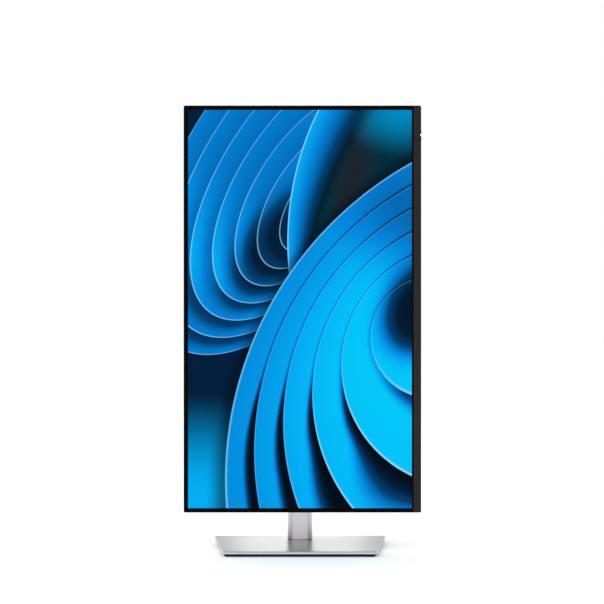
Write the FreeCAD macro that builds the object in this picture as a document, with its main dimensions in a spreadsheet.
"""A 24-inch office monitor on its stand, turned to portrait, as one parametric document.

Millimetres. +Z is up, the screen faces -Y and +X is to the right of someone facing the screen.
The origin is on the desk, on the axis that the stand swivels about. The screen stands on its
short side: what is its lower edge in landscape, the chin, is at +X.
"""

import FreeCAD, Part
import math
import os
import re

import Sketcher

# Driving dimensions, all in millimetres. Places are coordinates in the part's frame.
SIZES = {
    # the lit picture and the borders around it
    "active_width": 296.46,
    "active_height": 527.04,
    "left_border": 5.4,
    "chin_border": 11.9,
    "end_border": 5.25,
    "chin_line": 1.8,
    "outer_corner": 2.2,
    # where the display's layers lie, from the front to the back
    "screen_front": -90,
    "seam": -84,
    "edge_back": -78.5,
    "bulge_back": -48,
    "skin": 2,
    # heights and axes
    "axis_height": 320,
    "tilt_axis": -36,
    # clearances
    "running_gap": 0.05,
    "fit_gap": 0.3,
    "thin_gap": 0.1,
    # the base
    "base_front": -152,
    "base_back": 28,
    "base_front_width": 199,
    "base_back_width": 235,
    "base_corner": 3,
    "base_top": 7.1,
    "cover_low": 3.9,
    "cover_skin": 1.2,
    "cover_rim": 1.5,
    "cover_chamfer": 1,
    "plate_low": 0.5,
    "plate_top": 5.8,
    "plate_width": 195.8,
    "plate_corner": 5,
    "screw_recess": 18.5,
    "web_low": 3.1,
    # the rubber feet
    "foot_sink": 0.4,
    "foot_corner": 2,
    "middle_foot_half": 6.5,
    "front_foot_front": -149.5,
    "front_foot_back": -138,
    "front_foot_in": 86,
    "front_foot_out": 95,
    "back_foot_front": 10,
    "back_foot_back": 23,
    "back_foot_in": 79,
    "back_foot_out": 92,
    "ring_foot_in": 20,
    "ring_foot_out": 24.5,
    # the swivel
    "hub_radius": 11,
    "hub_block_high": 20,
    "flange_radius": 13.8,
    "flange_high": 0.5,
    "washer_thick": 0.25,
    "retainer_radius": 17,
    "retainer_thick": 0.7,
    "screw_radius": 2.9,
    "screw_high": 14,
    "thumb_radius": 7,
    "thumb_low": 0.7,
    "ring_wire": 0.55,
    "ring_bend": 9,
    "ring_height": 1.45,
    "ring_leg": 1.6,
    "ring_socket": 2,
    # the riser
    "riser_width": 34,
    "riser_depth": 36,
    "riser_corner": 8,
    "riser_wall": 2,
    "riser_low": 7.5,
    "riser_top": 352,
    "slot_half": 7,
    "slot_low": 160,
    "cap_thick": 2.5,
    "cap_chamfer": 0.6,
    "plug_wall": 1.5,
    "cable_low": 70,
    "cable_high": 112,
    "cable_half": 9,
    "cable_corner": 4,
    "liner_wall": 1.5,
    "liner_proud": 0.4,
    # the lift inside the riser
    "rail_low": 150,
    "rail_high": 348,
    "rail_in": 9.5,
    "rail_front": -10,
    "rail_back": 2,
    "channel_out": 12,
    "channel_front": -8,
    "channel_back": -2.5,
    "carriage_half": 9.2,
    "carriage_reach": 10,
    "carriage_front": -13,
    "carriage_back": 1.2,
    "arm_half": 6.5,
    "coil_radius": 6.6,
    "coil_height": 330,
    "coil_y": 8.4,
    "coil_half": 5,
    "coil_gap": 0.08,
    "strip_thick": 0.3,
    # machine screws
    "screw_thread": 1.5,
    "screw_clear": 2.1,
    "screw_head": 3.4,
    "head_thick": 1.5,
    "bracket_screw_up": 5.5,
    "bracket_screw_reach": 9,
    # the tilt bracket, its shaft and the yoke
    "shaft_radius": 3,
    "shaft_half": 24,
    "bracket_back": -26.5,
    "bracket_front": -29,
    "bracket_half": 16,
    "bracket_corner": 3,
    "ear_in": 19,
    "ear_out": 21.5,
    "ear_half": 8,
    "ear_reach": 5,
    "yoke_in": 14.5,
    "yoke_out": 18,
    "yoke_front": -51.4,
    "yoke_back": -48.9,
    "yoke_radius": 34,
    "knuckle_radius": 6.5,
    "tilt_washer_radius": 6,
    "tilt_spring_in": 7.5,
    "tilt_spring_radius": 5.2,
    "tilt_nut_radius": 5.5,
    # the pivot and the mounting plate
    "mount_half": 45,
    "mount_corner": 6,
    "mount_thick": 2.4,
    "hook_wide": 2,
    "hook_low": 20,
    "hook_high": 32,
    "hook_lip": 0.4,
    "pivot_radius": 8,
    "pivot_disc": 30,
    "slip_in": 20,
    "slip_out": 29,
    "slip_thick": 0.2,
    "pivot_washer_radius": 13,
    "pivot_washer_thick": 0.9,
    "pivot_nut_radius": 11,
    "pivot_nut_thick": 3.3,
    # the covers on the head
    "head_gap": 0.5,
    "head_wall": 1.5,
    "head_flange": 4,
    "shroud_half_x": 25.8,
    "shroud_half_z": 20,
    "shroud_corner": 4,
    "shroud_wall": 1.4,
    "shroud_floor": 1.5,
    "shroud_gap": 1.5,
    # the recess that the stand hooks into, with the four threaded mounting holes
    "recess_half": 60,
    "recess_corner": 8,
    "recess_floor": -56,
    "vesa_half": 50,
    "vesa_bore": 2,
    # the back cover's bulge and the bay for the sockets
    "edge_round": 1.4,
    "bulge_left": -112,
    "bulge_right": 100,
    "bulge_half": 215,
    "bulge_slope_x": 20,
    "bulge_slope_z": 30,
    "bulge_corner": 20,
    "bulge_narrowing": 4,
    "bulge_skin": 2.2,
    "bulge_round": 3,
    "bay_wall": 76,
    "bay_floor": -76,
    "bay_low": 135,
    "bay_high": 122,
    "vent_low": -162,
    "vent_in": 3,
    "vent_out": 17,
    "vent_wide": 2.4,
    "vent_pitch": 6,
    "lock_front": -67,
    "lock_back": -64,
    "lock_low": -81.5,
    "lock_high": -74.5,
    # the screen's inner layers
    "frame_wall": 1.4,
    "ledge_in": 0.7,
    "chin_proud": 0.2,
    "chin_thick": 1.7,
    "led_half": 1.2,
    "led_reach": 1.1,
    "led_depth": 4,
    "panel_front": -89.6,
    "panel_back": -87.9,
    "panel_left": 3.85,
    "panel_end": 3.7,
    "panel_right": 1.4,
    "ledge_back": -86.8,
    "guide_front": -85.8,
    "guide_back": -82.8,
    "guide_margin": 1,
    "guide_right": -2.3,
    "lamp_in": 1.8,
    "lamp_out": 0.2,
    "tray_back": -81.6,
    "tray_sheet": 0.8,
    "tray_margin": 2.4,
    "tray_right": 1.3,
    "driver_left": -106,
    "driver_right": -90,
    "driver_half": 110,
    "driver_thick": 0.8,
    # the electronics
    "bracket_floor": -78.9,
    "bracket_sheet": 1,
    "pan_left": -88,
    "pan_right": 72,
    "pan_half": 178,
    "pan_wall": 3,
    "board_front": -74,
    "board_back": -72.4,
    "standoff_radius": 2.6,
    "board_hole": 1.7,
    "board_head": 2.8,
    "board_head_thick": 1.6,
    "board_screw_reach": 3,
    "bridge_half": 58,
    "bridge_corner": 4,
    "bridge_hole": 22,
    "bridge_front": -67.2,
    "bridge_back": -66,
    "post_radius": 3,
    "insert_radius": 4,
    "insert_neck": 2.5,
    "shield_high": 3.2,
    "core_high": 4,
    "winding_high": 16,
    "can_radius": 8,
    "can_high": 15,
    "sink_high": 2,
    "fin_high": 14,
    "fin_thick": 2,
    "fin_pitch": 7.6,
    # the sockets; they open towards +X
    "socket_inner": 62.5,
    "socket_floor": 64.5,
    "vga_inner": 62,
    "vga_shell_half": 8.5,
    "vga_shell_wide": 4.2,
    "vga_shell_corner": 2.5,
    "vga_shell_proud": 5.5,
    "vga_post_up": 12.5,
    "vga_post_radius": 2.4,
    "vga_post_proud": 4.5,
    "inlet_height": -110,
    "inlet_half": 13.8,
    "inlet_front": -73.5,
    "inlet_back": -53.5,
    "inlet_wall": 1.6,
    "inlet_corner": 3,
    "inlet_inner": 55,
    "inlet_floor": 60,
    "blade_tip": 72,
    "blade_half_y": 1,
    "blade_half_z": 2,
    # the power button and the button that frees the stand
    "power_height": 229.8,
    "power_half": 7,
    "power_flange": 8.5,
    "power_back": 2.4,
    "power_inner": 4.6,
    "power_step": 2.4,
    "power_proud": 0.6,
    "release_left": 64,
    "release_right": 72,
    "release_half": 11.5,
    "release_corner": 2,
    "release_proud": 1.2,
    "release_inner": 5,
    "release_step": 3.2,
    "release_lip_x": 1.4,
    "release_lip_z": 2.5,
    "button_gap": 0.4,
    # the menu joystick and its pod, from the back edge's plane
    "pod_left": 118,
    "pod_right": 150,
    "pod_low": 208,
    "pod_high": 242,
    "pod_proud": 5.5,
    "pod_corner": 6,
    "pod_round": 1.5,
    "stick_x": 134,
    "stick_height": 225,
    "stick_hole": 6.5,
    "key_board_thick": 1,
    "switch_half": 4.5,
    "switch_high": 0.8,
    "gimbal_in": 2.2,
    "gimbal_out": 3.6,
    "gimbal_low": 1.4,
    "gimbal_high": 2,
    "stem_radius": 1.3,
    "stem_low": 1.5,
    "stem_high": 6,
    "knob_radius": 5.5,
    "knob_low": 4.3,
    "knob_hollow": 6.7,
    "knob_high": 8,
    "knob_round": 0.8,
    # how far one solid is sunk into another before they are joined, or cut past a face
    "overlap": 0.5,
}

LEFT = "-(active_width / 2 + left_border)"
RIGHT = "(active_width / 2 + chin_border)"
FOOT = "(axis_height - active_height / 2 - end_border)"
HEAD = "(axis_height + active_height / 2 + end_border)"
CHIN_LINE = "(active_width / 2 + chin_line)"

document = FreeCAD.newDocument("monitor")
sheet = document.addObject("Spreadsheet::Sheet", "sizes")
for row, (alias, size) in enumerate(SIZES.items(), start=1):
    sheet.set(f"A{row}", alias)
    sheet.set(f"B{row}", str(size))
    sheet.setAlias(f"B{row}", alias)
document.recompute()

ALIASES = re.compile(r"\b(" + "|".join(SIZES) + r")\b")
# each origin plane, and which way its normal runs along the world axis it stands on
PLANES = {"XY": ("XY_Plane", 1), "XZ": ("XZ_Plane", -1), "YZ": ("YZ_Plane", 1)}
finished = {}


# ---------------------------------------------------------------- expressions and sketches


def cells(text):
    """An expression with each dimension's name turned into its spreadsheet cell."""
    return ALIASES.sub(r"sizes.\1", str(text))


def value(text):
    """What an expression comes to now, in millimetres."""
    return float(sheet.evalExpression(cells(text)))


def raised(height):
    """A height above the screen's centre, as a height above the desk."""
    return f"(axis_height + ({height}))"


def fix(sketch, kind, element, point, expression):
    """Binds one coordinate of a sketch point, or a radius, to an expression."""
    number = value(expression)
    if kind == "Radius":
        rule = Sketcher.Constraint(kind, element, number)
    else:
        rule = Sketcher.Constraint(kind, -1, 1, element, point, number)
    index = sketch.addConstraint(rule)
    sketch.setExpression(f"Constraints[{index}]", cells(expression))


def circle(across, up, radius):
    """An outline: one circle."""

    def draw(sketch):
        centre = FreeCAD.Vector(value(across), value(up), 0)
        ring = Part.Circle(centre, FreeCAD.Vector(0, 0, 1), value(radius))
        element = sketch.addGeometry(ring)
        fix(sketch, "DistanceX", element, 3, across)
        fix(sketch, "DistanceY", element, 3, up)
        fix(sketch, "Radius", element, None, radius)

    return draw


def polygon(*points):
    """An outline: straight sides between points given as pairs of expressions."""

    def draw(sketch):
        places = [FreeCAD.Vector(value(a), value(b), 0) for a, b in points]
        first = sketch.GeometryCount
        count = len(points)
        for k in range(count):
            sketch.addGeometry(Part.LineSegment(places[k], places[(k + 1) % count]))
        for k, (across, up) in enumerate(points):
            before = first + (k - 1) % count
            sketch.addConstraint(Sketcher.Constraint("Coincident", before, 2, first + k, 1))
            fix(sketch, "DistanceX", first + k, 1, across)
            fix(sketch, "DistanceY", first + k, 1, up)

    return draw


def rectangle(left, low, right, high):
    """An outline: a rectangle with sharp corners."""
    return polygon((left, low), (right, low), (right, high), (left, high))


def rounded(left, low, right, high, radius):
    """An outline: a rectangle with its four corners rounded."""

    def draw(sketch):
        x0, x1, y0, y1 = value(left), value(right), value(low), value(high)
        corner = value(radius)
        runs = [
            ((x0 + corner, y0), (x1 - corner, y0)),
            ((x1, y0 + corner), (x1, y1 - corner)),
            ((x1 - corner, y1), (x0 + corner, y1)),
            ((x0, y1 - corner), (x0, y0 + corner)),
        ]
        centres = [
            (x1 - corner, y0 + corner),
            (x1 - corner, y1 - corner),
            (x0 + corner, y1 - corner),
            (x0 + corner, y0 + corner),
        ]
        first = sketch.GeometryCount
        for k, ((start, end), centre) in enumerate(zip(runs, centres)):
            sketch.addGeometry(Part.LineSegment(FreeCAD.Vector(*start, 0), FreeCAD.Vector(*end, 0)))
            ring = Part.Circle(FreeCAD.Vector(*centre, 0), FreeCAD.Vector(0, 0, 1), corner)
            turn = (k - 1) * math.pi / 2
            sketch.addGeometry(Part.ArcOfCircle(ring, turn, turn + math.pi / 2))
        for k in range(4):
            run, arc, after = first + 2 * k, first + 2 * k + 1, first + (2 * k + 2) % 8
            sketch.addConstraint(Sketcher.Constraint("Tangent", run, 2, arc, 1))
            sketch.addConstraint(Sketcher.Constraint("Tangent", arc, 2, after, 1))
            level = "Horizontal" if k % 2 == 0 else "Vertical"
            sketch.addConstraint(Sketcher.Constraint(level, run))
            if k:
                sketch.addConstraint(Sketcher.Constraint("Equal", first + 1, arc))
        fix(sketch, "DistanceY", first, 1, low)
        fix(sketch, "DistanceX", first + 2, 1, right)
        fix(sketch, "DistanceY", first + 4, 1, high)
        fix(sketch, "DistanceX", first + 6, 1, left)
        fix(sketch, "Radius", first + 1, None, radius)

    return draw


def loops(*outlines):
    """An outline made of several closed loops; a loop inside another is a hole."""

    def draw(sketch):
        for outline in outlines:
            outline(sketch)

    return draw


def ring(across, up, inner, outer):
    """An outline: a circle with a round hole."""
    return loops(circle(across, up, outer), circle(across, up, inner))


def sides(inner, outer, low, high):
    """An outline: the same rectangle on the left and on the right of the middle."""
    return loops(
        rectangle(f"-({outer})", low, f"-({inner})", high), rectangle(inner, low, outer, high)
    )


# ---------------------------------------------------------------- bodies and features


def new_body(name):
    body = document.addObject("PartDesign::Body", name)
    body.AllowCompound = True
    return body


def sketch_on(body, plane, outline, place):
    """A sketch parallel to one of the body's own origin planes, at a world coordinate."""
    role, sign = PLANES[plane]
    sketch = body.newObject("Sketcher::SketchObject", "outline")
    support = next(f for f in body.Origin.OriginFeatures if f.Role == role)
    sketch.AttachmentSupport = [(support, "")]
    sketch.MapMode = "FlatFace"
    sketch.setExpression("AttachmentOffset.Base.z", cells(f"{sign} * ({place})"))
    outline(sketch)
    return sketch


def prism(body, plane, outline, low, high, cut=False):
    """Adds, or cuts away, an outline pushed from one world coordinate up to a higher one."""
    sketch = sketch_on(body, plane, outline, low)
    feature = body.newObject("PartDesign::Pocket" if cut else "PartDesign::Pad", "prism")
    feature.Profile = sketch
    feature.setExpression("Length", cells(f"({high}) - ({low})"))
    feature.Reversed = (PLANES[plane][1] < 0) != cut
    sketch.Visibility = False
    return feature


def keep(thing, name):
    """Names a finished sub-part after the physical piece that it is."""
    thing.Label = name
    finished[name] = thing
    return thing


def piece(name, plane, outline, low, high):
    """A finished sub-part that starts as one prism."""
    body = new_body(name)
    prism(body, plane, outline, low, high)
    return keep(body, name)


def edges_where(shape, test):
    """Names of the edges whose every vertex passes a test, for a fillet or chamfer."""
    names = []
    for index, edge in enumerate(shape.Edges, start=1):
        if all(test(vertex.Point) for vertex in edge.Vertexes):
            names.append(f"Edge{index}")
    return names


def soften(body, kind, size, test):
    """Fillets or chamfers the edges of a body's tip whose vertices pass a test."""
    document.recompute()
    tip = body.Tip
    feature = body.newObject(f"PartDesign::{kind}", kind)
    feature.Base = (tip, edges_where(tip.Shape, test))
    feature.setExpression("Radius" if kind == "Fillet" else "Size", cells(size))
    return feature


def cut_from(name, base, *tools):
    """A boolean cut of several tools, one after another."""
    for tool in tools:
        result = document.addObject("Part::Cut", name)
        result.Base, result.Tool = base, tool
        base = result
    return base


# ---------------------------------------------------------------- the base


def base_outline(inset):
    """The base's plan: a trapezoid that widens towards the back, drawn in by an inset."""
    slope = "(base_back_width - base_front_width) / 2 / (base_back - base_front)"
    front, back = f"(base_front + {inset})", f"(base_back - {inset})"

    def half(y):
        return f"(base_front_width / 2 + ({y} - base_front) * {slope} - {inset})"

    return polygon(
        (f"-{half(front)}", front),
        (half(front), front),
        (half(back), back),
        (f"-{half(back)}", back),
    )


def upright(point_a, point_b):
    return abs(point_a.x - point_b.x) + abs(point_a.y - point_b.y) < 1e-6


def round_uprights(body, radius):
    """Fillets the upright corner edges of a flat plate."""
    document.recompute()
    tip = body.Tip
    names = []
    for index, edge in enumerate(tip.Shape.Edges, start=1):
        ends = [vertex.Point for vertex in edge.Vertexes]
        if len(ends) == 2 and upright(*ends):
            names.append(f"Edge{index}")
    feature = body.newObject("PartDesign::Fillet", "corners")
    feature.Base = (tip, names)
    feature.setExpression("Radius", cells(radius))


def make_base_cover():
    """The silver top plate, hollow below, with the hole that the swivel hub stands in."""
    body = new_body("base_cover")
    prism(body, "XY", base_outline("0"), "cover_low", "base_top")
    round_uprights(body, "base_corner")
    top = value("base_top")
    soften(body, "Chamfer", "cover_chamfer", lambda p: abs(p.z - top) < 1e-6)
    hollow_top = "base_top - cover_skin"
    prism(body, "XY", base_outline("cover_rim"), "cover_low", hollow_top, cut=True)
    hole = circle(0, 0, "flange_radius + fit_gap")
    prism(body, "XY", hole, hollow_top, "base_top", cut=True)
    keep(body, "base_cover")


def pads(inner, outer, front, back):
    """Two rounded pads, one on the left and one on the right of the middle."""
    left = rounded(f"-{outer}", front, f"-{inner}", back, "foot_corner")
    right = rounded(inner, front, outer, back, "foot_corner")
    return [left, right]


def feet_outlines():
    """Three pads along the front, two at the back corners and a ring around the swivel."""
    half, front, back = "middle_foot_half", "front_foot_front", "front_foot_back"
    middle = rounded(f"-{half}", front, half, back, "foot_corner")
    front_pads = pads("front_foot_in", "front_foot_out", front, back)
    back_pads = pads("back_foot_in", "back_foot_out", "back_foot_front", "back_foot_back")
    return loops(middle, *front_pads, *back_pads, ring(0, 0, "ring_foot_in", "ring_foot_out"))


def make_base_plate():
    """The black steel ballast plate under the cover, with the swivel's web in its middle."""
    half = "plate_width / 2"
    body = new_body("base_plate")
    front, back = "base_front + cover_rim + thin_gap", "base_back - cover_rim - thin_gap"
    outline = rounded(f"-{half}", front, half, back, "plate_corner")
    prism(body, "XY", outline, "plate_low", "plate_top")
    prism(body, "XY", circle(0, 0, "screw_recess"), "plate_low", "web_low", cut=True)
    bore = circle(0, 0, "hub_radius + running_gap")
    prism(body, "XY", bore, "web_low", "plate_top", cut=True)
    prism(body, "XY", feet_outlines(), "plate_low", "plate_low + foot_sink", cut=True)
    keep(body, "base_plate")


def make_base():
    make_base_cover()
    make_base_plate()
    piece("rubber_feet", "XY", feet_outlines(), "0", "plate_low + foot_sink")
    washer = ring(0, 0, "hub_radius + fit_gap", "flange_radius")
    piece("swivel_washer", "XY", washer, "plate_top", "plate_top + washer_thick")


# ---------------------------------------------------------------- swivel and riser


def make_swivel():
    """The hub that turns in the base plate, the disc and the thumb screw that hold it."""
    low, top = "web_low - thin_gap", "plate_top + washer_thick"
    flange_top = "riser_low + flange_high"
    hub = piece("swivel_hub", "XY", circle(0, 0, "hub_radius"), low, top)
    prism(hub, "XY", circle(0, 0, "flange_radius"), top, flange_top)
    prism(hub, "XY", riser_outline("riser_wall"), flange_top, "riser_low + hub_block_high")
    prism(hub, "XY", circle(0, 0, "screw_radius + thin_gap"), low, "riser_low + screw_high + 2", cut=True)

    retainer_low = "web_low - thin_gap - retainer_thick"
    disc = ring(0, 0, "screw_radius + thin_gap", "retainer_radius")
    piece("swivel_retainer", "XY", disc, retainer_low, low)

    screw = piece("thumb_screw", "XY", circle(0, 0, "thumb_radius"), "thumb_low", retainer_low)
    prism(screw, "XY", circle(0, 0, "screw_radius"), retainer_low, "riser_low + screw_high")
    for side in ("-thumb_radius", "thumb_radius - ring_socket"):
        socket = circle(0, "ring_height", "ring_wire + running_gap")
        prism(screw, "YZ", socket, side, f"{side} + ring_socket", cut=True)


def make_thumb_ring():
    """The D-shaped wire handle that lies flat beside the thumb screw's head."""
    wire, bend, height = value("ring_wire"), value("ring_bend"), value("ring_height")
    left = FreeCAD.Vector(-bend, 0, height)
    lowest = FreeCAD.Vector(0, -bend, height)
    right = FreeCAD.Vector(bend, 0, height)
    arc = Part.Wire([Part.Arc(left, lowest, right).toShape()])
    section = Part.Wire([Part.Circle(left, FreeCAD.Vector(0, 1, 0), wire).toShape()])
    bow = arc.makePipeShell([section], True, True)
    leg_length = bend + wire - value("thumb_radius - ring_leg")
    legs = []
    for side in (-1, 1):
        start = FreeCAD.Vector(side * (bend + wire), 0, height)
        legs.append(Part.makeCylinder(wire, leg_length, start, FreeCAD.Vector(-side, 0, 0)))
    handle = document.addObject("Part::Feature", "thumb_ring")
    handle.Shape = bow.multiFuse(legs).removeSplitter()
    handle.Placement = FreeCAD.Placement()
    keep(handle, "thumb_ring")


def riser_outline(inset):
    x, y = f"(riser_width / 2 - ({inset}))", f"(riser_depth / 2 - ({inset}))"
    return rounded(f"-{x}", f"-{y}", x, y, f"riser_corner - ({inset})")


def window_outline(inset):
    """The outline of the window for cables, drawn in by an inset."""
    return rounded(
        f"-(cable_half - {inset})",
        f"cable_low + {inset}",
        f"cable_half - {inset}",
        f"cable_high - {inset}",
        f"cable_corner - {inset}",
    )


def make_riser():
    """The upright silver tube, its slot for the carriage's arm, its cap and its cable liner."""
    section = loops(riser_outline("0"), riser_outline("riser_wall"))
    shell = piece("riser_shell", "XY", section, "riser_low", "riser_top")
    front = "-riser_depth / 2 - overlap"
    slot = rectangle("-slot_half", "slot_low", "slot_half", "riser_top + overlap")
    prism(shell, "XZ", slot, front, "0", cut=True)
    prism(shell, "XZ", window_outline("0"), front, "riser_depth / 2 + overlap", cut=True)

    cap = piece("riser_cap", "XY", riser_outline("0"), "riser_top", "riser_top + cap_thick")
    plug_side = "riser_wall + thin_gap"
    plug = loops(riser_outline(plug_side), riser_outline(f"{plug_side} + plug_wall"))
    prism(cap, "XY", plug, "riser_top - cap_thick", "riser_top")
    cap_top = value("riser_top + cap_thick")
    soften(cap, "Chamfer", "cap_chamfer", lambda p: abs(p.z - cap_top) < 1e-6)

    sleeve = loops(window_outline("thin_gap"), window_outline("liner_wall"))
    end = "riser_depth / 2 + liner_proud"
    piece("cable_liner", "XZ", sleeve, f"-({end})", end)


def make_lift():
    """Rails in the riser, the carriage that runs on them and the coiled spring's reel."""
    inner = "(riser_width / 2 - riser_wall)"
    bars = sides("rail_in", inner, "rail_front", "rail_back")
    rails = piece("slide_rails", "XY", bars, "rail_low", "rail_high")
    channels = sides("rail_in", "channel_out", "channel_front", "channel_back")
    prism(rails, "XY", channels, "rail_low", "rail_high", cut=True)

    low, high = raised("-carriage_reach"), raised("carriage_reach")
    block = rectangle("-carriage_half", "carriage_front", "carriage_half", "carriage_back")
    carriage = piece("lift_carriage", "XY", block, low, high)
    arm = rectangle("-arm_half", "bracket_back", "arm_half", "carriage_front")
    prism(carriage, "XY", arm, low, high)
    threads = bracket_screw_circles("screw_thread + thin_gap")
    prism(carriage, "XZ", threads, "bracket_back", "carriage_front", cut=True)

    pad_front, pad_back = "channel_front + fit_gap", "channel_back - fit_gap"
    pad = sides("carriage_half", "channel_out - fit_gap", pad_front, pad_back)
    piece("slide_pads", "XY", pad, low, high)

    strip_back = "carriage_back + strip_thick"
    strip = rectangle("-coil_half", "carriage_back", "coil_half", strip_back)
    piece("spring_strip", "XY", strip, raised("-carriage_reach + 2"), "coil_height")
    coil = ring("coil_y", "coil_height", "shaft_radius + coil_gap", "coil_radius")
    piece("spring_coil", "YZ", coil, "-coil_half", "coil_half")
    pin = circle("coil_y", "coil_height", "shaft_radius")
    pin_half = f"({inner} - 2 * thin_gap)"
    piece("spring_pin", "YZ", pin, f"-{pin_half}", pin_half)


# ---------------------------------------------------------------- tilt and pivot head


def bracket_screw_circles(radius):
    upper = circle(0, raised("bracket_screw_up"), radius)
    lower = circle(0, raised("-bracket_screw_up"), radius)
    return loops(upper, lower)


def paired(name, inner, outer, outline, plane="YZ"):
    """A sub-part made of the same prism on the left and on the right."""
    body = new_body(name)
    prism(body, plane, outline, inner, outer)
    prism(body, plane, outline, f"-({outer})", f"-({inner})")
    return keep(body, name)


def make_tilt_bracket():
    """The steel bracket on the carriage's arm, whose two ears carry the tilt shaft."""
    low, high = raised("-bracket_half"), raised("bracket_half")
    plate = rounded("-ear_out", low, "ear_out", high, "bracket_corner")
    bracket = piece("tilt_bracket", "XZ", plate, "bracket_front", "bracket_back")
    ear = rectangle("tilt_axis - ear_reach", raised("-ear_half"), "bracket_front", raised("ear_half"))
    prism(bracket, "YZ", ear, "ear_in", "ear_out")
    prism(bracket, "YZ", ear, "-ear_out", "-ear_in")
    bore = circle("tilt_axis", "axis_height", "shaft_radius + running_gap")
    prism(bracket, "YZ", bore, "-ear_out", "ear_out", cut=True)
    heads = bracket_screw_circles("screw_head + thin_gap")
    head_back = "bracket_front + head_thick"
    prism(bracket, "XZ", heads, "bracket_front", head_back, cut=True)
    prism(bracket, "XZ", bracket_screw_circles("screw_clear"), head_back, "bracket_back", cut=True)

    heads = bracket_screw_circles("screw_head")
    screws = piece("bracket_screws", "XZ", heads, "bracket_front", head_back)
    screw_end = "bracket_back + bracket_screw_reach"
    prism(screws, "XZ", bracket_screw_circles("screw_thread"), head_back, screw_end)


def make_tilt_yoke():
    """The disc behind the pivot with two arms that reach back to the tilt shaft."""
    face = ring(0, "axis_height", "pivot_radius + running_gap", "yoke_radius")
    yoke = piece("tilt_yoke", "XZ", face, "yoke_front", "yoke_back")
    low, high = raised("-knuckle_radius"), raised("knuckle_radius")
    arm = rectangle("yoke_back", low, "tilt_axis", high)
    knuckle = circle("tilt_axis", "axis_height", "knuckle_radius")
    for inner, outer in (("yoke_in", "yoke_out"), ("-yoke_out", "-yoke_in")):
        prism(yoke, "YZ", arm, inner, outer)
        prism(yoke, "YZ", knuckle, inner, outer)
    shaft = circle("tilt_axis", "axis_height", "shaft_radius")
    prism(yoke, "YZ", shaft, "-yoke_out", "yoke_out", cut=True)

    piece("tilt_shaft", "YZ", shaft, "-shaft_half", "shaft_half")
    on_shaft = [
        ("tilt_washers", "yoke_out + thin_gap", "ear_in - thin_gap", "tilt_washer_radius"),
        ("tilt_springs", "tilt_spring_in", "yoke_in - 2 * thin_gap", "tilt_spring_radius"),
    ]
    for name, inner, outer, radius in on_shaft:
        outline = ring("tilt_axis", "axis_height", "shaft_radius + thin_gap", radius)
        paired(name, inner, outer, outline)
    nut = ring("tilt_axis", "axis_height", "shaft_radius", "tilt_nut_radius")
    paired("tilt_nuts", "ear_out + fit_gap", "shaft_half", nut)


def make_pivot():
    """The mounting plate on the display and the shaft, washer and nut that it turns on."""
    low, high = raised("-mount_half"), raised("mount_half")
    plate = rounded("-mount_half", low, "mount_half", high, "mount_corner")
    mount_back = "recess_floor + mount_thick"
    mount = piece("mount_plate", "XZ", plate, "recess_floor", mount_back)
    prism(mount, "XZ", mount_hooks("0"), "recess_floor - skin - hook_lip", "recess_floor")

    disc = circle(0, "axis_height", "pivot_disc")
    disc_back = "yoke_front - slip_thick"
    washer_back = "yoke_back + pivot_washer_thick"
    nut_back = f"{washer_back} + pivot_nut_thick"
    shaft = piece("pivot_shaft", "XZ", disc, mount_back, disc_back)
    bar = circle(0, "axis_height", "pivot_radius")
    prism(shaft, "XZ", bar, disc_back, f"{nut_back} + 2 * thin_gap")
    slip = ring(0, "axis_height", "slip_in", "slip_out")
    piece("pivot_slip_ring", "XZ", slip, disc_back, "yoke_front")
    spring = ring(0, "axis_height", "pivot_radius + thin_gap", "pivot_washer_radius")
    piece("pivot_washer", "XZ", spring, "yoke_back", washer_back)
    nut = ring(0, "axis_height", "pivot_radius", "pivot_nut_radius")
    piece("pivot_nut", "XZ", nut, washer_back, nut_back)


def mount_hooks(gap):
    """The two hooks on the mounting plate, or the slots they enter, drawn out by a gap."""
    across, away = f"-mount_half - {gap}", f"-mount_half + hook_wide + {gap}"
    near, far = f"hook_low - {gap}", f"hook_high + {gap}"
    low_hook = rectangle(across, raised(f"-({far})"), away, raised(f"-({near})"))
    high_hook = rectangle(across, raised(near), away, raised(far))
    return loops(low_hook, high_hook)


def make_head_covers():
    """The round cover on the pivot head and the square one around the tilt bracket."""
    skirt_in, skirt_out = "yoke_radius + head_gap", "yoke_radius + head_gap + head_wall"
    skirt = ring(0, "axis_height", skirt_in, skirt_out)
    cover = piece("head_cover", "XZ", skirt, "yoke_front", "tilt_axis - head_gap")
    flange = ring(0, "axis_height", "yoke_radius - head_flange", f"{skirt_in} + thin_gap")
    prism(cover, "XZ", flange, "yoke_back + thin_gap", "yoke_back + head_wall")

    front, back = "tilt_axis + head_gap", "-riser_depth / 2 - shroud_gap"
    shroud = piece("bracket_cover", "XZ", shroud_outline("0"), front, back)
    floor = f"{back} - shroud_floor"
    prism(shroud, "XZ", shroud_outline("shroud_wall"), front, floor, cut=True)
    half_x, half_z = "(arm_half + thin_gap)", "(carriage_reach + thin_gap)"
    passage = rectangle(f"-{half_x}", raised(f"-{half_z}"), half_x, raised(half_z))
    prism(shroud, "XZ", passage, floor, back, cut=True)


def shroud_outline(inset):
    half_x, half_z = f"(shroud_half_x - {inset})", f"(shroud_half_z - {inset})"
    corner = f"shroud_corner - {inset}"
    return rounded(f"-{half_x}", raised(f"-{half_z}"), half_x, raised(half_z), corner)


# ---------------------------------------------------------------- the screen's layers


def display_outline(inset, corner):
    return rounded(
        f"{LEFT} + {inset}", f"{FOOT} + {inset}", f"{RIGHT} - {inset}", f"{HEAD} - {inset}", corner
    )


def panel_rectangle(left, end, right):
    """A rectangle given by how far its sides stand outside the lit picture."""
    half_width, half_height = "active_width / 2", "active_height / 2"
    return rectangle(
        f"-({half_width} + {left})",
        raised(f"-({half_height} + {end})"),
        f"({half_width} + {right})",
        raised(f"{half_height} + {end}"),
    )


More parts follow.
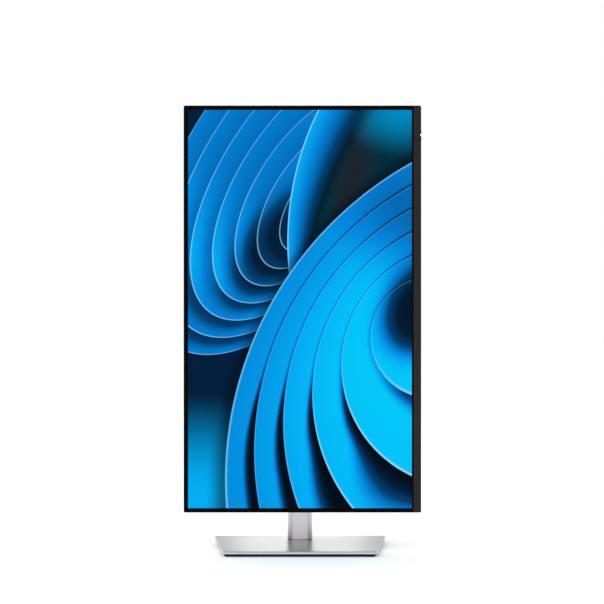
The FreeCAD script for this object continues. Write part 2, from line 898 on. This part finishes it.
def led_outline(reach, gap):
    """The power light's outline at the chin's outer edge, drawn out by a gap."""
    low, high = raised(f"power_height - led_half - {gap}"), raised(f"power_height + led_half + {gap}")
    return rectangle(f"{RIGHT} - led_reach - {gap}", low, f"{RIGHT} + {reach}", high)


def make_middle_frame():
    """The plastic frame: a thin outer wall and the ledge that the panel rests on."""
    wall = loops(display_outline("0", "outer_corner"), display_outline("frame_wall", "fit_gap"))
    frame = piece("middle_frame", "XZ", wall, "screen_front", "seam")
    opening = panel_rectangle("ledge_in", "ledge_in", "ledge_in")
    ledge = loops(display_outline("frame_wall / 2", "1"), opening)
    prism(frame, "XZ", ledge, "panel_back + thin_gap", "ledge_back")
    chin_back = "screen_front + chin_thick + thin_gap"
    chin = rectangle(
        f"{CHIN_LINE} - thin_gap", f"{FOOT} - overlap", f"{RIGHT} + overlap", f"{HEAD} + overlap"
    )
    prism(frame, "XZ", chin, "screen_front - thin_gap", chin_back, cut=True)
    prism(frame, "XZ", led_outline("overlap", "thin_gap"), chin_back, "seam", cut=True)


def make_chin_strip():
    """The strip below the picture in landscape, at the right in portrait."""
    strip = new_body("chin_strip")
    front, back = "screen_front - chin_proud", "screen_front + chin_thick"
    prism(strip, "XZ", display_outline("0", "outer_corner"), front, back)
    rest = rectangle(f"{LEFT} - overlap", f"{FOOT} - overlap", CHIN_LINE, f"{HEAD} + overlap")
    prism(strip, "XZ", rest, f"{front} - thin_gap", f"{back} + thin_gap", cut=True)
    window = led_outline("overlap", "thin_gap")
    prism(strip, "XZ", window, f"{front} - thin_gap", f"{back} + thin_gap", cut=True)
    keep(strip, "chin_strip")
    lens = led_outline("chin_proud", "0")
    piece("power_led_lens", "XZ", lens, front, "screen_front + led_depth")


def make_screen_layers():
    """The liquid crystal panel, the films, the light guide, its lamps and the steel tray."""
    panel = panel_rectangle("panel_left", "panel_end", "panel_right")
    piece("lcd_panel", "XZ", panel, "panel_front", "panel_back")
    sheet_outline = panel_rectangle("guide_margin", "guide_margin", "guide_right")
    layers = [
        ("diffuser_films", "ledge_back + 2 * thin_gap", "guide_front - thin_gap"),
        ("light_guide", "guide_front", "guide_back"),
        ("reflector_sheet", "guide_back + thin_gap", "guide_back + fit_gap"),
    ]
    for name, front, back in layers:
        piece(name, "XZ", sheet_outline, front, back)
    low, high = raised("-active_height / 2"), raised("active_height / 2")
    lamps = rectangle("active_width / 2 - lamp_in", low, "active_width / 2 + lamp_out", high)
    piece("led_strip", "XZ", lamps, "guide_front", "guide_back")

    tray_front = "ledge_back + thin_gap"
    outside = panel_rectangle("tray_margin", "tray_margin", "tray_right")
    tray = piece("backlight_tray", "XZ", outside, tray_front, "tray_back")
    margin = "tray_margin - tray_sheet"
    inside = panel_rectangle(margin, margin, "tray_right - tray_sheet")
    prism(tray, "XZ", inside, tray_front, "tray_back - tray_sheet", cut=True)
    driver = rectangle("driver_left", raised("-driver_half"), "driver_right", raised("driver_half"))
    driver_front = "tray_back + thin_gap"
    piece("panel_driver_board", "XZ", driver, driver_front, f"{driver_front} + driver_thick")


# ---------------------------------------------------------------- the back cover


def bulge_outline(inset, rear):
    """The bulge's section at its foot or, drawn in by the slopes, at its rear face."""
    across = f"({inset} + {'bulge_slope_x' if rear else '0'})"
    along = f"({inset} + {'bulge_slope_z' if rear else '0'})"
    corner = f"bulge_corner - {inset} - {'bulge_narrowing' if rear else '0'}"
    return rounded(
        f"bulge_left + {across}",
        raised(f"-(bulge_half - {along})"),
        f"bulge_right - {across}",
        raised(f"bulge_half - {along}"),
        corner,
    )


def add_bulge(body, inset, foot, rear):
    """Lofts the bulge from the slab it stands on to its rear face."""
    base = sketch_on(body, "XZ", bulge_outline(inset, False), foot)
    top = sketch_on(body, "XZ", bulge_outline(inset, True), rear)
    loft = body.newObject("PartDesign::AdditiveLoft", "bulge")
    loft.Profile = base
    loft.Sections = [top]
    loft.Ruled = True


SOCKETS = {
    # each socket's height from the screen's centre, then its half sizes along Z and Y
    "hdmi_port": ("-40", "7.75", "3.1"),
    "displayport_port": ("-14", "8.5", "3.2"),
    "vga_port": ("20", "15.6", "6.3"),
    "usb_b_port": ("54", "6", "5.4"),
    "usb_a_port_1": ("80", "6.7", "3"),
    "usb_a_port_2": ("104", "6.7", "3"),
}
SOCKET_MOUTHS = {
    "hdmi_port": ("7.05", "2.4"),
    "displayport_port": ("7.8", "2.5"),
    "usb_b_port": ("4.2", "3.8"),
    "usb_a_port_1": ("6.15", "2.45"),
    "usb_a_port_2": ("6.15", "2.45"),
}
MOUTH_FACE = "(bay_wall + 0.4)"
VENT_COUNT = 55


def socket_rectangle(name, grow):
    """The outline of a socket that stands on the main board, drawn out by a gap."""
    height, half_z, half_y = SOCKETS[name]
    low_y, high_y = f"board_back - {grow}", f"board_back + 2 * {half_y} + {grow}"
    low_z, high_z = f"{height} - {half_z} - {grow}", f"{height} + {half_z} + {grow}"
    return rectangle(low_y, raised(low_z), high_y, raised(high_z))


def inlet_rectangle(grow):
    """The power inlet's outline, drawn out by a gap."""
    low, high = f"inlet_height - inlet_half - {grow}", f"inlet_height + inlet_half + {grow}"
    return rectangle(f"inlet_front - {grow}", raised(low), f"inlet_back + {grow}", raised(high))


def pod_outline(inset):
    """The outline of the small pod for the joystick, drawn in by an inset."""
    return rounded(
        f"pod_left + {inset}",
        raised(f"pod_low + {inset}"),
        f"pod_right - {inset}",
        raised(f"pod_high - {inset}"),
        f"pod_corner - {inset}",
    )


def square(half, corner):
    """A rounded square about the screen's centre."""
    return rounded(f"-({half})", raised(f"-({half})"), half, raised(half), corner)


def block(name, plane, outline, low, high):
    """A body used as a tool in a boolean."""
    body = new_body(name)
    prism(body, plane, outline, low, high)
    return body


def vent_cutter():
    """A row of slots through the bulge's sloping side, opposite the sockets."""
    body = new_body("vent_cutter")
    low, high = raised("vent_low"), raised("vent_low + vent_wide")
    slot = rectangle("bulge_left + vent_in", low, "bulge_left + vent_out", high)
    first = prism(body, "XZ", slot, "edge_back + overlap", "bulge_back + overlap")
    document.recompute()
    row = body.newObject("PartDesign::LinearPattern", "vent_row")
    row.Originals = [first]
    axis = next(f for f in body.Origin.OriginFeatures if f.Role == "Z_Axis")
    row.Direction = (axis, [""])
    row.Occurrences = VENT_COUNT
    row.setExpression("Length", cells(f"vent_pitch * {VENT_COUNT - 1}"))
    body.Tip = row
    return body


def round_rear(body, radius, place):
    """Fillets every edge that lies in the plane of a face that looks backwards."""
    height = value(place)
    soften(body, "Fillet", radius, lambda p: abs(p.y - height) < 1e-6)


def cover_outside():
    """The back cover's outer shape: the slab, the bulge, the pod and the open bay."""
    outer = new_body("cover_outside")
    prism(outer, "XZ", display_outline("0", "outer_corner"), "seam", "edge_back")
    round_rear(outer, "edge_round", "edge_back")
    add_bulge(outer, "0", "edge_back - 2 * overlap", "bulge_back")
    round_rear(outer, "bulge_round", "bulge_back")
    prism(outer, "XZ", pod_outline("0"), "edge_back - 2 * overlap", "edge_back + pod_proud")
    round_rear(outer, "pod_round", "edge_back + pod_proud")
    bay = rectangle("bay_wall", raised("-bay_low"), f"{RIGHT} + overlap", raised("bay_high"))
    prism(outer, "XZ", bay, "bay_floor", "bulge_back + overlap", cut=True)
    return outer


def cover_hollow():
    """The space inside the back cover, without the walls of the bay and of the recess."""
    inside = new_body("cover_inside")
    slab_back = "edge_back - skin"
    prism(inside, "XZ", display_outline("skin", "2 * fit_gap"), "seam - overlap", slab_back)
    add_bulge(inside, "bulge_skin", f"{slab_back} - overlap", "bulge_back - bulge_skin")
    prism(inside, "XZ", pod_outline("skin"), f"{slab_back} - overlap", "edge_back + pod_proud - skin")

    low, high = raised("-(bay_low + skin)"), raised("bay_high + skin")
    wall = rectangle("bay_wall - skin", low, f"{RIGHT} + overlap", high)
    bay_block = block("bay_block", "XZ", wall, "bay_floor - skin", "bulge_back + overlap")
    tub = square("recess_half + skin", "recess_corner + skin")
    tub_block = block("tub_block", "XZ", tub, "recess_floor - skin", "bulge_back + overlap")
    return cut_from("hollow", inside, bay_block, tub_block)


def cover_openings():
    """What is cut through the back cover: the recess, its holes, the buttons and sockets."""
    openings = new_body("openings")
    behind = "bulge_back + overlap"
    recess = square("recess_half", "recess_corner")
    prism(openings, "XZ", recess, "recess_floor", behind)
    through = loops(mount_hooks("1"), *vesa_circles("insert_neck + thin_gap"))
    prism(openings, "XZ", through, "recess_floor - skin - overlap", "recess_floor")
    prism(openings, "XZ", release_outline("button_gap"), "bulge_back - release_inner", behind)
    stick = circle("stick_x", raised("stick_height"), "stick_hole")
    prism(openings, "XZ", stick, "edge_back + skin", "edge_back + pod_proud + overlap")

    power = power_outline("power_half + fit_gap", "power_back - fit_gap", "seam - overlap")
    prism(openings, "YZ", power, f"{RIGHT} - skin - overlap", f"{RIGHT} + overlap")
    mouths = [socket_rectangle(name, "2 * thin_gap") for name in SOCKETS]
    lock = rectangle("lock_front", raised("lock_low"), "lock_back", raised("lock_high"))
    holes = loops(*mouths, inlet_rectangle("2 * thin_gap"), lock)
    prism(openings, "YZ", holes, "bay_wall - skin - overlap", "bay_wall + overlap")
    return openings


def make_rear_cover():
    """The black back shell: a thin slab, a bulge, the stand's recess and the socket bay."""
    cutters = (cover_hollow(), cover_openings(), vent_cutter())
    keep(cut_from("rear_cover", cover_outside(), *cutters), "rear_cover")


# ---------------------------------------------------------------- electronics in the bulge


def vesa_circles(radius):
    places = [(a, b) for a in (-1, 1) for b in (-1, 1)]
    return [circle(f"{a} * vesa_half", raised(f"{b} * vesa_half"), radius) for a, b in places]


STANDOFFS = [
    ("14", "-56"),
    ("14", "154"),
    ("66", "130"),
    ("66", "154"),
    ("-78", "-166"),
    ("-78", "-74"),
    ("48", "-166"),
    ("48", "-74"),
]
POSTS = [("-54", "-30"), ("-54", "30"), ("54", "-30"), ("54", "30")]
FLAT_PARTS = {
    # the left, lowest, right and highest side of each board and of what lies on it
    "main_board": ("8", "-62", "72.5", "160"),
    "power_board": ("-84", "-172", "54", "-68"),
    "scaler_shield": ("22", "72", "52", "112"),
    "transformer": ("-38", "-142", "-12", "-110"),
    "winding": ("-34", "-138", "-16", "-114"),
    "heat_sink": ("0", "-156", "40", "-146"),
}
CANS = [("-66", "-148"), ("-66", "-126"), ("-66", "-104")]
FIN_COUNT = 5


def circles_at(places, radius):
    return [circle(across, raised(up), radius) for across, up in places]


def flat_part(name):
    """The outline of one of the flat parts."""
    left, low, right, high = FLAT_PARTS[name]
    return rectangle(left, raised(low), right, raised(high))


def make_board_bracket():
    """The folded steel pan that the boards stand in, with their standoffs and screws."""
    pan = rectangle("pan_left", raised("-pan_half"), "pan_right", raised("pan_half"))
    pan_top = "bracket_floor + pan_wall"
    bracket = piece("board_bracket", "XZ", pan, "bracket_floor - bracket_sheet", pan_top)
    inner_left, inner_half = "pan_left + bracket_sheet", "(pan_half - bracket_sheet)"
    inner_right = "pan_right + bracket_sheet"
    inside = rectangle(inner_left, raised(f"-{inner_half}"), inner_right, raised(inner_half))
    prism(bracket, "XZ", inside, "bracket_floor", pan_top, cut=True)

    threads = circles_at(STANDOFFS, "screw_thread + thin_gap")
    pillars = loops(*circles_at(STANDOFFS, "standoff_radius"), *threads)
    prism(bracket, "XZ", pillars, "bracket_floor", "board_front")
    heads = loops(*circles_at(STANDOFFS, "board_head"))
    screws = piece("board_screws", "XZ", heads, "board_back", "board_back + board_head_thick")
    shanks = loops(*circles_at(STANDOFFS, "screw_thread"))
    prism(screws, "XZ", shanks, "board_front - board_screw_reach", "board_back")


def make_mount_inserts():
    """The bridge over the boards, with the four threaded inserts of the wall mount on it."""
    middle = circle(0, "axis_height", "bridge_hole")
    plate = loops(square("bridge_half", "bridge_corner"), middle, *vesa_circles("vesa_bore"))
    bridge = piece("vesa_bridge", "XZ", plate, "bridge_front", "bridge_back")
    prism(bridge, "XZ", loops(*circles_at(POSTS, "post_radius")), "bracket_floor", "bridge_front")

    shoulder = "recess_floor - skin - running_gap"
    tubes = loops(*vesa_circles("insert_radius"), *vesa_circles("vesa_bore"))
    inserts = piece("vesa_inserts", "XZ", tubes, "bridge_back", shoulder)
    necks = loops(*vesa_circles("insert_neck"), *vesa_circles("vesa_bore"))
    prism(inserts, "XZ", necks, shoulder, "recess_floor - 2 * thin_gap")


def make_boards():
    """The two printed circuit boards, the metal shield and the power supply's large parts."""
    holes = circles_at(STANDOFFS[:4], "board_hole")
    clear = circles_at(POSTS[2:], "post_radius + 1")
    piece("main_board", "XZ", loops(flat_part("main_board"), *holes, *clear), "board_front", "board_back")
    holes = circles_at(STANDOFFS[4:], "board_hole")
    piece("power_board", "XZ", loops(flat_part("power_board"), *holes), "board_front", "board_back")
    shield = flat_part("scaler_shield")
    piece("scaler_shield", "XZ", shield, "board_back", "board_back + shield_high")

    transformer = flat_part("transformer")
    core_top = "board_back + core_high"
    parts = piece("power_components", "XZ", transformer, "board_back", core_top)
    prism(parts, "XZ", flat_part("winding"), core_top, "board_back + winding_high")
    cans = loops(*circles_at(CANS, "can_radius"))
    prism(parts, "XZ", cans, "board_back", "board_back + can_high")
    sink_top = "board_back + sink_high"
    prism(parts, "XZ", flat_part("heat_sink"), "board_back", sink_top)
    prism(parts, "XZ", loops(*heat_sink_fins()), sink_top, "board_back + fin_high")


def heat_sink_fins():
    """Upright fins, evenly spaced along the heat sink."""
    left, low, _, high = FLAT_PARTS["heat_sink"]
    fins = []
    for k in range(FIN_COUNT):
        side = f"{left} + fin_thick + {k} * fin_pitch"
        fins.append(rectangle(side, raised(low), f"{side} + fin_thick", raised(high)))
    return fins


def add_socket(body, name):
    """One metal socket shell: a block with a mouth that stops short of its back."""
    prism(body, "YZ", socket_rectangle(name, "0"), "socket_inner", MOUTH_FACE)
    height, _, half_y = SOCKETS[name]
    mouth_z, mouth_y = SOCKET_MOUTHS[name]
    middle = f"board_back + {half_y}"
    mouth = rectangle(
        f"{middle} - {mouth_y}",
        raised(f"{height} - {mouth_z}"),
        f"{middle} + {mouth_y}",
        raised(f"{height} + {mouth_z}"),
    )
    prism(body, "YZ", mouth, "socket_floor", MOUTH_FACE, cut=True)


def make_sockets():
    """The sockets along the bay's wall; each opens towards +X."""
    groups = {
        "video_sockets": ("hdmi_port", "displayport_port"),
        "usb_sockets": ("usb_b_port", "usb_a_port_1", "usb_a_port_2"),
    }
    for name, members in groups.items():
        body = new_body(name)
        for member in members:
            add_socket(body, member)
        keep(body, name)

    make_vga_socket()
    make_power_inlet()


def make_vga_socket():
    """The older video socket: a metal shell on a plate, between two threaded posts."""
    plate = socket_rectangle("vga_port", "0")
    vga = piece("vga_socket", "YZ", plate, "vga_inner", MOUTH_FACE)
    height, _, half_y = SOCKETS["vga_port"]
    middle = f"board_back + {half_y}"
    low, high = raised(f"{height} - vga_shell_half"), raised(f"{height} + vga_shell_half")
    near, far = f"{middle} - vga_shell_wide", f"{middle} + vga_shell_wide"
    shell = rounded(near, low, far, high, "vga_shell_corner")
    prism(vga, "YZ", shell, MOUTH_FACE, f"{MOUTH_FACE} + vga_shell_proud")
    posts = []
    for side in (-1, 1):
        posts.append(circle(middle, raised(f"{height} + {side} * vga_post_up"), "vga_post_radius"))
    prism(vga, "YZ", loops(*posts), MOUTH_FACE, f"{MOUTH_FACE} + vga_post_proud")


BLADES = [
    # where each contact of the power inlet stands, along Y and from the inlet's middle
    ("-66.5", "-7"),
    ("-60.5", "0"),
    ("-66.5", "7"),
]


def make_power_inlet():
    """The mains inlet: a box with a deep cavity and three upright contacts."""
    inlet = piece("power_inlet", "YZ", inlet_rectangle("0"), "inlet_inner", MOUTH_FACE)
    half = "(inlet_half - inlet_wall)"
    low, high = raised(f"inlet_height - {half}"), raised(f"inlet_height + {half}")
    front, back = "inlet_front + inlet_wall", "inlet_back - inlet_wall"
    cavity = rounded(front, low, back, high, "inlet_corner")
    prism(inlet, "YZ", cavity, "inlet_floor", MOUTH_FACE, cut=True)
    blades = []
    for y, up in BLADES:
        low = raised(f"inlet_height + {up} - blade_half_z")
        high = raised(f"inlet_height + {up} + blade_half_z")
        blades.append(rectangle(f"{y} - blade_half_y", low, f"{y} + blade_half_y", high))
    prism(inlet, "YZ", loops(*blades), "inlet_floor", "blade_tip")


# ---------------------------------------------------------------- buttons


def power_outline(half, back, front):
    """The power button's outline on the display's side, by its half length."""
    low, high = raised(f"power_height - ({half})"), raised(f"power_height + ({half})")
    return rectangle(front, low, f"edge_back - ({back})", high)


def release_outline(gap):
    """The outline of the button that frees the stand, drawn out by a gap."""
    half = f"(release_half + {gap})"
    corner = f"release_corner + {gap}"
    left, right = f"release_left - {gap}", f"release_right + {gap}"
    return rounded(left, raised(f"-{half}"), right, raised(half), corner)


def make_buttons():
    """The power button and the button that frees the stand, each with a flange behind it."""
    inner, step = f"{RIGHT} - power_inner", f"{RIGHT} - power_step"
    face = power_outline("power_half", "power_back", "seam + fit_gap")
    power = piece("power_button", "YZ", face, inner, f"{RIGHT} + power_proud")
    flange = power_outline("power_flange", "power_back", "seam + fit_gap")
    prism(power, "YZ", flange, inner, step)

    inner = "bulge_back - release_inner"
    cap = release_outline("0")
    release = piece("release_button", "XZ", cap, inner, "bulge_back + release_proud")
    left, right = "release_left - release_lip_x", "release_right + release_lip_x"
    half = "(release_half + release_lip_z)"
    flange = rectangle(left, raised(f"-{half}"), right, raised(half))
    prism(release, "XZ", flange, inner, "bulge_back - release_step")


def make_joystick():
    """The key board in the pod, and the gimbal, stem and cap of the menu joystick."""
    x, z = "stick_x", raised("stick_height")
    left, right = "pod_left + 2 * skin", "pod_right - 2 * skin"
    board = rectangle(left, raised("pod_low + 2 * skin"), right, raised("pod_high - 2 * skin"))
    board_back = "edge_back - fit_gap"
    keys = piece("key_board", "XZ", board, f"{board_back} - key_board_thick", board_back)
    near_x, far_x = f"{x} - switch_half", f"{x} + switch_half"
    switch = rectangle(near_x, f"{z} - switch_half", far_x, f"{z} + switch_half")
    prism(keys, "XZ", switch, board_back, "edge_back + switch_high")

    gimbal = ring(x, z, "gimbal_in", "gimbal_out")
    piece("joystick_gimbal", "XZ", gimbal, "edge_back + gimbal_low", "edge_back + gimbal_high")
    stem = circle(x, z, "stem_radius")
    piece("joystick_stem", "XZ", stem, "edge_back + stem_low", "edge_back + stem_high")
    cap = circle(x, z, "knob_radius")
    knob = piece("joystick_cap", "XZ", cap, "edge_back + knob_low", "edge_back + knob_high")
    socket = circle(x, z, "stem_radius + thin_gap")
    prism(knob, "XZ", socket, "edge_back + knob_low", "edge_back + knob_hollow", cut=True)
    round_rear(knob, "knob_round", "edge_back + knob_high")


# ---------------------------------------------------------------- build, check and write


def main():
    make_base()
    make_swivel()
    make_thumb_ring()
    make_riser()
    make_lift()
    make_tilt_bracket()
    make_tilt_yoke()
    make_pivot()
    make_head_covers()
    make_middle_frame()
    make_chin_strip()
    make_screen_layers()
    make_rear_cover()
    make_board_bracket()
    make_mount_inserts()
    make_boards()
    make_sockets()
    make_buttons()
    make_joystick()
    document.recompute()

    for thing in document.Objects:
        if {"Invalid", "Error"} & set(thing.State):
            raise SystemExit(f"{thing.Name} ({thing.Label}) is {thing.State}")
    os.makedirs("parts", exist_ok=True)
    for name, thing in finished.items():
        if thing.Shape.isNull() or not thing.Shape.isValid():
            raise SystemExit(f"{name} has no valid shape")
    for name, thing in finished.items():
        thing.Shape.exportStep(f"parts/{name}.step")
    print(len(finished), "sub-parts written")


main()
